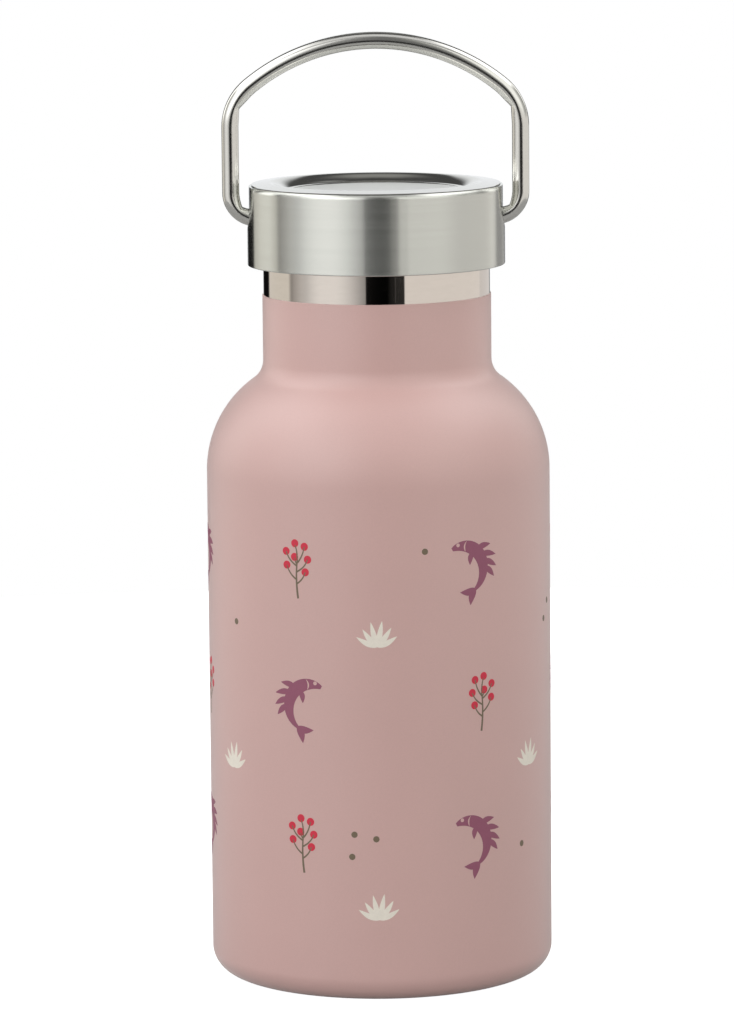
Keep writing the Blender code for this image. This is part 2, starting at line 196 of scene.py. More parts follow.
def refine(profile, step):
    """Splits a profile's long straight runs so that no run is longer than step."""
    fine = []
    for (r0, z0), (r1, z1) in zip(profile, profile[1:]):
        pieces = max(1, math.ceil(math.hypot(r1 - r0, z1 - z0) / step))
        for k in range(pieces):
            fine.append((r0 + (r1 - r0) * k / pieces, z0 + (z1 - z0) * k / pieces))
    return fine + [profile[-1]]


def new_object(name, data):
    obj = bpy.data.objects.new(name, data)
    bpy.context.scene.collection.objects.link(obj)
    return obj


def mesh_from(name, bm):
    """The finished bmesh as mesh data."""
    mesh = bpy.data.meshes.new(name)
    bm.to_mesh(mesh)
    bm.free()
    return mesh


def mesh_piece(name, vertices, faces, materials, face_materials=None):
    """A smooth-shaded object with outward faces."""
    mesh = bpy.data.meshes.new(name)
    mesh.from_pydata([tuple(v) for v in vertices], [], faces)
    for material in materials:
        mesh.materials.append(material)
    if face_materials is not None:
        mesh.polygons.foreach_set("material_index", face_materials)
    bm = bmesh.new()
    bm.from_mesh(mesh)
    bmesh.ops.remove_doubles(bm, verts=bm.verts, dist=MERGE_DISTANCE)
    bmesh.ops.recalc_face_normals(bm, faces=bm.faces)
    bm.to_mesh(mesh)
    bm.free()
    mesh.shade_smooth()
    mesh.set_sharp_from_angle(angle=math.radians(SHARP_DEG))
    return new_object(name, mesh)


def grid_faces(rows, columns, closed_rows):
    """Quads of a grid whose columns wrap round, and whose rows may."""
    faces = []
    for i in range(rows if closed_rows else rows - 1):
        low, high = i * columns, (i + 1) % rows * columns
        for j in range(columns):
            k = (j + 1) % columns
            faces.append((low + j, low + k, high + k, high + j))
    return faces


def turned(name, profile, materials, angles=COLUMNS, shape=None, material_of=None):
    """Turns a (radius, height) profile about the bottle's axis.

    A profile with both ends on the axis is left open there; any other is a closed ring.
    angles is a number of columns, or their angles. shape(r, z, angle) moves the grid's
    points, and material_of(r, z) picks a material for the row of faces that starts there.
    """
    closed = profile[0][0] > 0 or profile[-1][0] > 0
    around = np.linspace(0, 2 * math.pi, angles, endpoint=False) if isinstance(angles, int) else angles
    r, z = (np.repeat(np.array(column)[:, None], len(around), 1) for column in zip(*profile))
    angle = np.repeat(np.asarray(around)[None, :], len(profile), 0)
    if shape:
        r, z = shape(r, z, angle)
    vertices = np.stack([r * np.sin(angle), -r * np.cos(angle), z], -1).reshape(-1, 3)
    faces = grid_faces(len(profile), len(around), closed)
    picked = None
    if material_of:
        rows = len(faces) // len(around)
        picked = np.repeat([material_of(*profile[i]) for i in range(rows)], len(around))
    return mesh_piece(name, vertices, faces, materials, picked)


def drill(piece, radius, depth, centre_x, segments):
    """Cuts a round hole along X into a piece, at the height of the handle's pivots."""
    bm = bmesh.new()
    bmesh.ops.create_cone(
        bm, cap_ends=True, segments=segments, radius1=radius, radius2=radius, depth=depth
    )
    tool = new_object("drill", mesh_from("drill", bm))
    tool.rotation_euler = (0.0, math.pi / 2, 0.0)
    tool.location = (centre_x, 0.0, PIVOT_Z)
    cut = piece.modifiers.new("drill", "BOOLEAN")
    cut.operation = "DIFFERENCE"
    cut.object = tool
    bpy.context.view_layer.update()
    evaluated = piece.evaluated_get(bpy.context.evaluated_depsgraph_get())
    piece.data = bpy.data.meshes.new_from_object(evaluated)
    piece.modifiers.clear()
    bpy.data.objects.remove(tool, do_unlink=True)


def smoothstep(low, high, value):
    t = np.clip((value - low) / (high - low), 0, 1)
    return t * t * (3 - 2 * t)


def helix_bumps(z, angle, phase):
    """0 to 1 across the ridge of one of a thread's two starts, at each point of a grid."""
    turns_here = (math.pi / 2 - angle + phase) / (2 * math.pi)
    best = np.zeros_like(z)
    for turn in range(-2, 4):
        along = turn - turns_here
        centre = THREAD_START_Z + THREAD_LEAD * along
        offset = np.clip(np.abs(z - centre) / THREAD_HALF_WIDTH, 0, 1)
        fade = smoothstep(0, THREAD_FADE, along) * smoothstep(0, THREAD_FADE, THREAD_TURNS - along)
        best = np.maximum(best, fade * (0.5 + 0.5 * np.cos(math.pi * offset)))
    return best


# ======== node helpers
def srgb(red, green, blue):
    """A display colour, 0 to 255 a channel, as the linear colour that shaders take."""
    channels = [c / 255 for c in (red, green, blue)]
    linear = [c / 12.92 if c <= 0.04045 else ((c + 0.055) / 1.055) ** 2.4 for c in channels]
    return (*linear, 1.0)


class Graph:
    """Short calls for building a node tree. A value is a number, a colour or an output."""

    def __init__(self, tree):
        self.tree = tree

    def put(self, socket, value):
        if isinstance(value, bpy.types.NodeSocket):
            self.tree.links.new(value, socket)
        elif value is not None:
            socket.default_value = value

    def node(self, kind, values=(), **settings):
        made = self.tree.nodes.new(kind)
        for key, value in settings.items():
            setattr(made, key, value)
        for key, value in dict(values).items():
            self.put(made.inputs[key], value)
        return made

    def math(self, operation, a, b=None, c=None):
        made = self.node("ShaderNodeMath", operation=operation)
        for socket, value in zip(made.inputs, (a, b, c)):
            self.put(socket, value)
        return made.outputs[0]

    def remap(self, value, low, high, to_low, to_high, **settings):
        ends = {"From Min": low, "From Max": high, "To Min": to_low, "To Max": to_high}
        return self.node("ShaderNodeMapRange", {"Value": value, **ends}, **settings).outputs[0]

    def smooth(self, value, low, high, to_low=0.0, to_high=1.0):
        return self.remap(value, low, high, to_low, to_high, interpolation_type="SMOOTHSTEP")

    def spread(self, value, to_low, to_high, low=0.3, high=0.7):
        """A noise value stretched from its usual middle range to the range asked for."""
        return self.remap(value, low, high, to_low, to_high)

    def combine(self, x, y, z):
        return self.node("ShaderNodeCombineXYZ", {"X": x, "Y": y, "Z": z}).outputs[0]

    def place(self):
        """The point on the piece, in metres, and its x, y and z."""
        point = self.node("ShaderNodeTexCoord").outputs["Object"]
        parts = self.node("ShaderNodeSeparateXYZ", {0: point}).outputs
        return point, parts[0], parts[1], parts[2]

    def noise(self, vector, scale, detail=2.0, roughness=0.5):
        values = {"Vector": vector, "Scale": scale, "Detail": detail, "Roughness": roughness}
        return self.node("ShaderNodeTexNoise", values).outputs["Fac"]

    def mix(self, factor, a, b):
        made = self.node("ShaderNodeMix", data_type="RGBA")
        for key, value in (("Factor", factor), ("A", a), ("B", b)):
            socket = next(s for s in made.inputs if s.name == key and s.enabled)
            self.put(socket, value)
        return next(s for s in made.outputs if s.enabled)

    def stretched(self, x, y, z, flat, high):
        """The coordinates, scaled by flat in x and y and by high in z."""
        scaled = (self.math("MULTIPLY", value, scale) for value, scale in ((x, flat), (y, flat), (z, high)))
        return self.combine(*scaled)

    def surface(self, shader, colour, tone, roughness, normal=None):
        """Joins what varies over a surface to its shader. The tone scales its brightness."""
        shade = self.node("ShaderNodeHueSaturation", {"Value": tone, "Color": colour})
        self.put(shader.inputs["Base Color"], shade.outputs[0])
        self.put(shader.inputs["Roughness"], roughness)
        self.put(shader.inputs["Normal"], normal)

    def bump(self, height, strength, distance, normal=None):
        values = {"Height": height, "Strength": strength, "Distance": distance, "Normal": normal}
        return self.node("ShaderNodeBump", values).outputs[0]


def new_material(name, even=()):
    """even holds the values that are the same all over, set on the shader's own sockets."""
    material = bpy.data.materials.new(name)
    material.use_nodes = True
    shader = material.node_tree.nodes["Principled BSDF"]
    for socket, value in dict(even).items():
        shader.inputs[socket].default_value = value
    return material, Graph(material.node_tree), shader


# ======== finishes
def powder_coat(name, colour, roughness=0.5):
    """Matte baked powder: a fine pebbled skin with faint speckle and a little cloudiness."""
    gloss = {
        "Specular IOR Level": 1.0, "Sheen Weight": 0.6, "Sheen Roughness": 0.4,
        "Coat Weight": 0.6, "Coat Roughness": 0.5,
    }
    material, g, shader = new_material(name, gloss)
    point = g.place()[0]
    clouds = g.noise(point, 45, 2)
    speckle = g.noise(point, 3400, 2, 0.6)
    pebble = g.noise(point, 1500, 3, 0.55)
    tone = g.math("ADD", g.spread(speckle, -0.02, 0.02), g.spread(clouds, 0.985, 1.015))
    rough = g.spread(pebble, roughness - 0.04, roughness + 0.05)
    relief = g.bump(pebble, 0.35, 0.00002, g.bump(speckle, 0.25, 0.000008))
    g.surface(shader, colour, tone, rough, relief)
    return material


def ink(name, colour):
    """Screen-printed ink: slightly glossier than the coat, a touch uneven where it is thin."""
    material, g, shader = new_material(name)
    point = g.place()[0]
    cover = g.noise(point, 900, 3, 0.6)
    grain = g.noise(point, 3400, 2, 0.6)
    tone = g.math("ADD", g.spread(cover, 0.97, 1.03), g.spread(grain, -0.02, 0.02))
    g.surface(shader, colour, tone, g.spread(cover, 0.42, 0.5), g.bump(grain, 0.25, 0.00001))
    return material


def brushed_steel(name, colour, roughness, anisotropy, line_depth, lines=5200, smooth=0.0):
    """Steel finished on a lathe: hair-fine lines run round the axis, so light spreads across them.

    The lines follow height on walls and radius on flat faces. smooth is the share by
    which the lines' contrast is lowered.
    """
    lathe = {"Metallic": 1.0, "Anisotropic": anisotropy, "Anisotropic Rotation": 0.25}
    material, g, shader = new_material(name, lathe)
    x, y, z = g.place()[1:]
    radius = g.math("SQRT", g.math("ADD", g.math("MULTIPLY", x, x), g.math("MULTIPLY", y, y)))
    across = g.math("ADD", z, radius)
    hair = g.noise(g.stretched(x, y, across, 90, lines), 1.0, 1, 0.5)
    streak = g.noise(g.stretched(x, y, across, 22, lines / 6), 1.0, 1, 0.5)
    depth = 1.0 - smooth
    fine_tone = g.spread(hair, -0.035 * depth, 0.03 * depth)
    tone = g.math("ADD", fine_tone, g.spread(streak, 1 - 0.03 * depth, 1.02))
    fine_rough = g.spread(hair, roughness - 0.01, roughness + 0.01)
    rough = g.math("ADD", fine_rough, g.spread(streak, -0.006, 0.006))
    g.surface(shader, colour, tone, rough, g.bump(hair, line_depth, 0.000004))
    tangent = g.node("ShaderNodeTangent", direction_type="RADIAL", axis="Z").outputs[0]
    g.put(shader.inputs["Tangent"], tangent)
    return material


def polished_steel(name, colour, roughness, scratches=0.12):
    """Bright steel with faint handling marks: soft smears and a few hair scratches."""
    material, g, shader = new_material(name, {"Metallic": 1.0})
    point, x, y, z = g.place()
    smear = g.noise(point, 160, 1, 0.5)
    marks = g.noise(g.stretched(x, y, z, 300, 1200), 1.0, 2, 0.5)
    rough = g.spread(smear, roughness * 0.9, roughness * 1.12)
    g.surface(shader, colour, g.spread(marks, 0.985, 1.01), rough, g.bump(marks, scratches, 0.000002))
    return material


def satin_steel(name, colour, roughness, metallic):
    """Blasted steel under a clear matt lacquer: an even fine grain with no direction."""
    material, g, shader = new_material(name, {"Metallic": metallic})
    point = g.place()[0]
    grain = g.noise(point, 4200, 2, 0.6)
    clouds = g.noise(point, 120, 2)
    tone = g.math("ADD", g.spread(grain, -0.012, 0.012), g.spread(clouds, 0.99, 1.01))
    rough = g.spread(grain, roughness - 0.04, roughness + 0.04)
    g.surface(shader, colour, tone, rough, g.bump(grain, 0.1, 0.000004))
    return material


def moulded_plastic(name, colour, roughness, glow=0.0):
    """Moulded polymer with a fine spark-eroded grain. glow is the share of light that soaks in."""
    soaking = {"Subsurface Weight": glow, "Subsurface Scale": 0.002}
    material, g, shader = new_material(name, soaking)
    point = g.place()[0]
    grain = g.noise(point, 2600, 3, 0.6)
    flow = g.noise(point, 90, 2)
    rough = g.spread(grain, roughness - 0.05, roughness + 0.05)
    g.surface(shader, colour, g.spread(flow, 0.975, 1.02), rough, g.bump(grain, 0.2, 0.00002))
    return material


def cellular_foam(name, colour):
    """Expanded foam, seen as small round cells."""
    material, g, shader = new_material(name)
    point = g.place()[0]
    cells = g.node("ShaderNodeTexVoronoi", {"Vector": point, "Scale": 900.0}).outputs["Distance"]
    tone = g.spread(cells, 1.02, 0.93, 0.0, 0.8)
    g.surface(shader, colour, tone, 0.9, g.bump(cells, 0.6, 0.0002))
    return material


def sintered(name, colour, metallic, roughness):
    """A pressed or fused grainy solid, such as the getter pellet or the solder glass."""
    material, g, shader = new_material(name, {"Metallic": metallic})
    grain = g.noise(g.place()[0], 2200, 4, 0.65)
    rough = g.spread(grain, roughness - 0.08, roughness + 0.08)
    g.surface(shader, colour, g.spread(grain, 0.8, 1.15), rough, g.bump(grain, 0.4, 0.00004))
    return material


STEEL = srgb(218, 217, 212)
PINK = srgb(209, 169, 163)
coat_finish = powder_coat("pink_powder_coat", PINK)
skirt_finish = brushed_steel("lid_skirt_steel", srgb(208, 209, 203), 0.23, 1.0, 0.008, 8000, 0.9)
crown_finish = brushed_steel("lid_top_steel", STEEL, 0.10, 0.2, 0.015, 5200, 0.7)
disc_finish = satin_steel("lid_disc_steel", srgb(215, 216, 214), 0.4, 0.3)
wire_finish = polished_steel("wire_steel", STEEL, 0.15, 0.01)
band_finish = polished_steel("neck_band_steel", srgb(221, 213, 205), 0.05, 0.06)
vessel_finish = brushed_steel("vessel_steel", srgb(205, 203, 199), 0.28, 0.5, 0.2, 2500)
pressed_finish = brushed_steel("pressed_steel", srgb(200, 199, 196), 0.34, 0.6, 0.3, 3000)
plastic_finish = moulded_plastic("pale_polypropylene", srgb(226, 226, 222), 0.42, 0.15)
silicone_finish = moulded_plastic("clear_silicone", srgb(229, 229, 224), 0.36, 0.35)
foam_finish = cellular_foam("white_foam", srgb(238, 237, 233))
glass_finish = sintered("solder_glass", srgb(58, 60, 68), 0.0, 0.22)
getter_finish = sintered("getter_alloy", srgb(120, 120, 124), 1.0, 0.62)


# ======== bottle
def shoulder(body_r, neck_r, arc_r, fillet_r, start_z, steps):
    """Points from the neck down over the fillet and the shoulder to the straight wall."""
    arc_centre_r = body_r - arc_r
    fillet_centre_r = neck_r + fillet_r
    turn = math.degrees(math.acos((fillet_centre_r - arc_centre_r) / (arc_r + fillet_r)))
    fillet_z = start_z + (arc_r + fillet_r) * math.sin(math.radians(turn))
    fillet = arc(fillet_centre_r, fillet_z, fillet_r, 180, 180 + turn, steps // 2)
    dome = arc(arc_centre_r, start_z, arc_r, turn, 0, steps)
    return fillet + dome[1:]


def outer_skin(inset):
    """The bottle's outside from neck to foot, moved inwards by inset from the coat's face."""
    outside_r = BODY_R - COAT_ROOM - inset
    fillet_r = BASE_FILLET_R - inset
    over = shoulder(
        outside_r, NECK_COAT_R - inset, SHOULDER_ARC_R - inset, NECK_FILLET_R + inset, SHOULDER_START_Z, 36
    )
    return over + arc(outside_r - fillet_r, BASE_FILLET_R, fillet_r, 0, -90, 16)


def make_powder_coat():
    film = COAT_THICKNESS - SKIN_GAP
    outside, inside = outer_skin(0.0), outer_skin(film)
    edge_r = 0.00012
    lip = arc(NECK_COAT_R - edge_r, COAT_EDGE_Z - edge_r, edge_r, 90, 0, 5)
    foot = [(BASE_OPENING_R, 0.0), (BASE_OPENING_R, film)]
    top = [(inside[0][0], COAT_EDGE_Z)]
    profile = lip + outside + foot + inside[::-1] + top
    coat = turned("powder_coat", profile, [coat_finish], COAT_COLUMNS)
    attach(coat, "bottle")
    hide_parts("outer_shell")


def make_steel_shell():
    """The outer wall under the coat, bare and polished in a band below the mouth."""
    room = 0.0001                # left free for the parts inside
    sheet_edge_r = 0.00008
    hole_r = BASE_OPENING_R + room
    lip_foot = RIM_Z - LIP_DEPTH - GAP
    outside = [(NECK_STEEL_R, lip_foot), (NECK_STEEL_R, COAT_EDGE_Z)]
    outside += outer_skin(COAT_THICKNESS)
    inside = outer_skin(COAT_THICKNESS + OUTER_WALL - room)
    foot = [(hole_r, COAT_THICKNESS), (hole_r, OUTER_WALL)]
    top = [(NECK_STEEL_R - OUTER_WALL, lip_foot)]
    profile = soften(outside + foot + inside[::-1] + top, sheet_edge_r, closed=True, from_deg=60)
    shell = turned("steel_shell", profile, [band_finish])
    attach(shell, "bottle")
    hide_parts("outer_shell")


def neck_thread(r, z, angle):
    """Rolls the thread's ridge inwards from the mouth's wall."""
    near, far, rim_depth = 0.0001, 0.0003, 0.0006
    on_wall = smoothstep(MOUTH_R + far, MOUTH_R + near, r) * (z < RIM_Z - rim_depth)
    return r - NECK_THREAD_HEIGHT * on_wall * helix_bumps(z, angle, 0.0), z


def make_inner_vessel():
    rim_r, lip_edge_r, rim_corner_r = 0.0003, 0.00012, 0.00018
    wall_top = RIM_Z - 0.0004
    lip_foot = RIM_Z - LIP_DEPTH
    thread_low = THREAD_START_Z - 2 * THREAD_HALF_WIDTH
    outside = [(NECK_STEEL_R, RIM_Z), (NECK_STEEL_R, lip_foot), (MOUTH_R + MOUTH_WALL, lip_foot)]
    outside += shoulder(
        INNER_R + INNER_WALL, MOUTH_R + MOUTH_WALL, INNER_SHOULDER_ARC_R + INNER_WALL,
        INNER_FILLET_R - INNER_WALL, INNER_SHOULDER_START_Z, 20,
    )
    outside += [(INNER_R + INNER_WALL, INNER_FOOT_Z), (INNER_R, INNER_FOOT_Z)]
    inside = shoulder(
        INNER_R, MOUTH_R, INNER_SHOULDER_ARC_R, INNER_FILLET_R, INNER_SHOULDER_START_Z, 24
    )
    wall = refine([(MOUTH_R, thread_low), (MOUTH_R, wall_top)], THREAD_STEP)
    rim = soften([wall[-1], (MOUTH_R, RIM_Z), (NECK_STEEL_R, RIM_Z)], rim_r)[1:-1]
    lip = soften(outside[:4], lip_edge_r)[1:-1]
    corner = soften([(MOUTH_R, RIM_Z), outside[0], outside[1]], rim_corner_r)[1:-1]
    profile = corner + lip + outside[3:] + inside[::-1] + wall + rim
    vessel = turned("inner_vessel_wall", profile, [vessel_finish], THREAD_COLUMNS, neck_thread)
    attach(vessel, "bottle")
    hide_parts("inner_vessel")


def make_inner_floor():
    rim_r = INNER_R - GAP
    foot = INNER_FOOT_Z - GAP
    crown = 0.0006               # the floor is domed up a little in the middle
    dome_share = 0.95            # of the floor's radius
    bend_r = rim_r - DISH_BEND_R
    spots = np.linspace(0, dome_share, 12)
    dome = [(bend_r * t, foot + INNER_WALL + crown * (1 - t * t)) for t in spots]
    under = [(r, z - INNER_WALL) for r, z in reversed(dome)]
    inside = dome + arc(bend_r, foot + DISH_BEND_R, DISH_BEND_R - INNER_WALL, -90, 0, 10)
    outside = [(rim_r, DISH_RIM_Z)] + arc(bend_r, foot + DISH_BEND_R, DISH_BEND_R, 0, -90, 10)
    profile = inside + [(rim_r - INNER_WALL, DISH_RIM_Z)] + outside + under
    floor = turned("inner_floor_dish", profile, [vessel_finish], DISH_COLUMNS)
    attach(floor, "bottle")
    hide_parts("inner_floor")


def make_base_cover():
    """The pressed disc in the foot, with two shallow turned rings and a rolled edge."""
    lo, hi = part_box("base_cover")
    foot, top, cover_r = lo.z, hi.z, BASE_COVER_R
    ring_places, ring_rise, ring_half = (0.0215, 0.0115), 0.00016, 0.0006
    edge, top_edge, edge_r = 0.0002, 0.0001, 0.0001
    profile = [(0.0, top), (cover_r - edge, top), (cover_r, top - top_edge), (cover_r, foot + edge)]
    profile += [(cover_r - edge, foot)]
    for ring_r in ring_places:
        profile += [(ring_r + ring_half, foot), (ring_r + ring_half * 0.5, foot + ring_rise)]
        profile += [(ring_r - ring_half * 0.5, foot + ring_rise), (ring_r - ring_half, foot)]
    profile += [(0.0, foot)]
    cover = turned("base_cover_disc", soften(profile, edge_r, from_deg=8), [pressed_finish], PLAIN_COLUMNS)
    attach(cover, "bottle")
    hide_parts("base_cover")


# ======== lid
def lid_columns():
    """Angles of the lid's columns, fine across the two recesses and coarser between them."""
    half_fine, fine_count, coarse_count = math.radians(20), 120, 66
    fine = np.linspace(-half_fine, half_fine, fine_count)
    coarse = np.linspace(half_fine, math.pi - half_fine, coarse_count)[1:-1]
    side = np.concatenate([fine, coarse]) + math.pi / 2
    return np.concatenate([side, side + math.pi])


def press_recesses(r, z, angle):
    """Presses the round patches at both sides in to their floor radius, with a soft edge."""
    from_pivot = np.hypot(r * np.cos(angle), z - RECESS_Z)
    inside = 1 - smoothstep(RECESS_R - RECESS_EDGE, RECESS_R + RECESS_EDGE, from_pivot)
    outer_face = np.abs(r - LID_R) < LID_EDGE_R
    inner_face = r < LID_R - 0.6 * LID_WALL
    floor = np.where(inner_face, RECESS_FLOOR_R - LID_WALL, RECESS_FLOOR_R)
    pushed = r - inside * np.maximum(0, r - floor)
    return np.where(outer_face, pushed, r), z


def lid_edge_centre():
    """Centre of the rounding between the ring and the skirt."""
    fall = math.radians(LID_RING_FALL)
    ring_end_r = LID_R - LID_EDGE_R * (1 - math.sin(fall))
    brow_end_r = LID_PEAK_R + LID_BROW_R * math.sin(fall)
    brow_end_z = LID_TOP_Z - LID_BROW_R * (1 - math.cos(fall))
    ring_end_z = brow_end_z - (ring_end_r - brow_end_r) * math.tan(fall)
    return LID_R - LID_EDGE_R, ring_end_z - LID_EDGE_R * math.cos(fall)


def lid_shell_profile():
    """From the middle of the top out and down the skirt, and back up the inside."""
    edge_r, edge_z = lid_edge_centre()
    end = 90 - LID_RING_FALL
    brow = arc(LID_PEAK_R, LID_TOP_Z - LID_BROW_R, LID_BROW_R, 90 + LID_BROW_SLOPE, end, 20)
    turn = math.radians(LID_BROW_SLOPE)
    dish_r = brow[0][0] + LID_DISH_R * math.sin(turn)
    dish_z = brow[0][1] - LID_DISH_R * math.cos(turn)
    dish = arc(dish_r, dish_z, LID_DISH_R, 90 + LID_DISH_SLOPE, 90 + LID_BROW_SLOPE, 20)[:-1]
    slope = math.radians(LID_DISH_SLOPE)
    bend_r = dish[0][0] - LID_DISH_BEND_R * math.sin(slope)
    bend_z = dish[0][1] + LID_DISH_BEND_R * math.cos(slope)
    bend = arc(bend_r, bend_z, LID_DISH_BEND_R, -90, -90 + LID_DISH_SLOPE, 10)[:-1]
    land_z = bend[0][1]
    close_rows = (0.0008, 0.0001, 0.0)   # that keep the disc's shading flat up to its edge
    land_edge, land_drop = 0.00008, 0.00004
    top = [(0.0, LID_DISC_Z)] + [(LID_DISC_R - room, LID_DISC_Z) for room in close_rows]
    top += [(LID_LAND_R - land_edge, land_z - land_drop), (LID_LAND_R, land_z)]
    edge = arc(edge_r, edge_z, LID_EDGE_R, end, 0, 16)
    ring_step, back_step = 0.0005, 0.0004
    ring = refine([brow[-1], edge[0]], ring_step)[1:-1]
    recess_room, recess_step = 0.0006, 0.00015
    recess_low = RECESS_Z - RECESS_R - recess_room
    skirt = refine([edge[-1], (LID_R, recess_low)], recess_step)
    lip = 0.00018
    foot = [(LID_R, LID_FOOT_Z + lip * 2)] + arc(LID_R - lip, LID_FOOT_Z + lip, lip, 0, -90, 4)
    wall_in = LID_R - LID_WALL
    foot += [(wall_in + lip * 0.6, LID_FOOT_Z), (wall_in, LID_FOOT_Z + lip)]
    back = refine([(wall_in, recess_low), (wall_in, edge_z)], back_step)
    under = arc(edge_r, edge_z, LID_EDGE_R - LID_WALL, 0, end, 4)
    under += [(LID_PEAK_R, LID_TOP_Z - LID_WALL), (LID_LAND_R, land_z - LID_WALL)]
    under += [(LID_DISC_R, LID_DISC_Z - LID_WALL), (0.0, LID_DISC_Z - LID_WALL)]
    return top + bend + dish + brow + ring + edge + skirt[1:] + foot + back + under


def lid_face_material(r, z):
    """0 for the brushed skirt, 1 for the bright ring, 2 for the inside, 3 for the satin disc."""
    brushed_top = lid_edge_centre()[1] + 0.82 * LID_EDGE_R
    under_disc, disc_seam = LID_DISC_Z - 0.0001, 0.00005
    if r < LID_DISC_R - disc_seam and z > under_disc:
        return 3
    if r > LID_R - 0.5 * LID_EDGE_R and z < brushed_top:
        return 0
    if r < LID_R - 0.6 * LID_WALL and z < under_disc:
        return 2
    return 1


def make_lid_shell():
    finishes = [skirt_finish, crown_finish, pressed_finish, disc_finish]
    shell = turned(
        "lid_shell_cap", lid_shell_profile(), finishes, lid_columns(), press_recesses, lid_face_material
    )
    drill(shell, PIVOT_HOLE_R, THROUGH_DRILL, 0.0, 64)
    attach(shell, "lid")
    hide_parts("lid_shell")


def plug_thread(r, z, angle):
    """Raises the thread's ridge on the plug's wall."""
    near = 0.00005
    on_wall = (np.abs(r - PLUG_R) < near) * (z < PLUG_WALL_Z[1]) * (z > PLUG_WALL_Z[0])
    return r + PLUG_THREAD_HEIGHT * on_wall * helix_bumps(z, angle, PLUG_THREAD_PHASE), z


def make_lid_liner():
    skirt_foot = LID_FOOT_Z + LINER_FOOT_ROOM
    coarse = [(0.0, LINER_TOP_Z), (LINER_R, LINER_TOP_Z), (LINER_R, skirt_foot)]
    coarse += [(LINER_SKIRT_IN_R, skirt_foot), (LINER_SKIRT_IN_R, FLANGE_Z), (PLUG_R, FLANGE_Z)]
    above = soften(coarse, MOULDED_EDGE_R)
    wall = refine([(PLUG_R, PLUG_WALL_Z[1]), (PLUG_R, PLUG_WALL_Z[0])], THREAD_STEP)
    below = [(PLUG_R, PLUG_FOOT_Z), (PLUG_CAVITY_R, PLUG_FOOT_Z)]
    below += [(PLUG_CAVITY_R, LINER_TOP_Z - LINER_DECK), (0.0, LINER_TOP_Z - LINER_DECK)]
    profile = above + wall + soften([wall[-1]] + below, MOULDED_EDGE_R)[1:]
    liner = turned("lid_liner_plug", profile, [plastic_finish], THREAD_COLUMNS, plug_thread)
    for side in (-1, 1):
        drill(liner, SOCKET_R, SOCKET_DRILL, side * (SOCKET_END_X + SOCKET_DRILL / 2), 40)
    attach(liner, "lid")
    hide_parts("lid_liner")


def make_seal_and_cover():
    seal_in_r, seal_edge_r, cover_edge_r = PLUG_R + PLUG_FIT, 0.00045, 0.0007
    profile = [(SEAL_OUT_R, SEAL_TOP_Z), (SEAL_OUT_R, SEAL_FOOT_Z)]
    profile += [(seal_in_r, SEAL_FOOT_Z), (seal_in_r, SEAL_TOP_Z)]
    profile = soften(profile, seal_edge_r, closed=True, steps=6)
    seal = turned("lid_seal_ring", profile, [silicone_finish], PLAIN_COLUMNS)
    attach(seal, "seal")
    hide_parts("lid_seal")

    seat = PLUG_FOOT_Z - GAP
    spigot_r, rim_r = PLUG_CAVITY_R - PLUG_FIT, PLUG_R - PLUG_FIT
    profile = [(0.0, COVER_TOP_Z), (spigot_r, COVER_TOP_Z), (spigot_r, seat), (rim_r, seat)]
    profile += [(rim_r, COVER_FOOT_Z), (0.0, COVER_FOOT_Z)]
    profile = soften(profile, cover_edge_r, steps=6)
    cover = turned("plug_cover_cap", profile, [plastic_finish], PLAIN_COLUMNS)
    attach(cover, "lid")
    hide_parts("plug_cover")


# ======== handle
def handle_half():
    """Centreline of the right half from its pin tip to the crown, and its two crease points."""
    centre_x = HANDLE_HALF_WIDTH - WIRE_R
    bend_x, bend_z = centre_x - HANDLE_BEND_R, PIVOT_Z + HANDLE_BEND_R
    bend = arc(bend_x, bend_z, HANDLE_BEND_R, -90, 0, BEND_STEPS)
    corner_r = HANDLE_CORNER_R - WIRE_R
    top_r = HANDLE_ARC_R - WIRE_R
    top_centre_z = HANDLE_TOP_Z - HANDLE_ARC_R
    corner_x = centre_x - corner_r
    turn = math.degrees(math.acos(corner_x / (top_r - corner_r)))
    corner_z = top_centre_z + (top_r - corner_r) * math.sin(math.radians(turn))
    corner = arc(corner_x, corner_z, corner_r, 0, turn, CORNER_STEPS)
    crown = arc(0.0, top_centre_z, top_r, turn, 90, 60)
    tip_row = 0.0008
    pin = [(PIN_TIP_X, PIVOT_Z), (PIN_TIP_X + tip_row, PIVOT_Z)]
    return pin + bend + corner + crown[1:], (bend[BEND_STEPS // 2], corner[CORNER_CREASE])


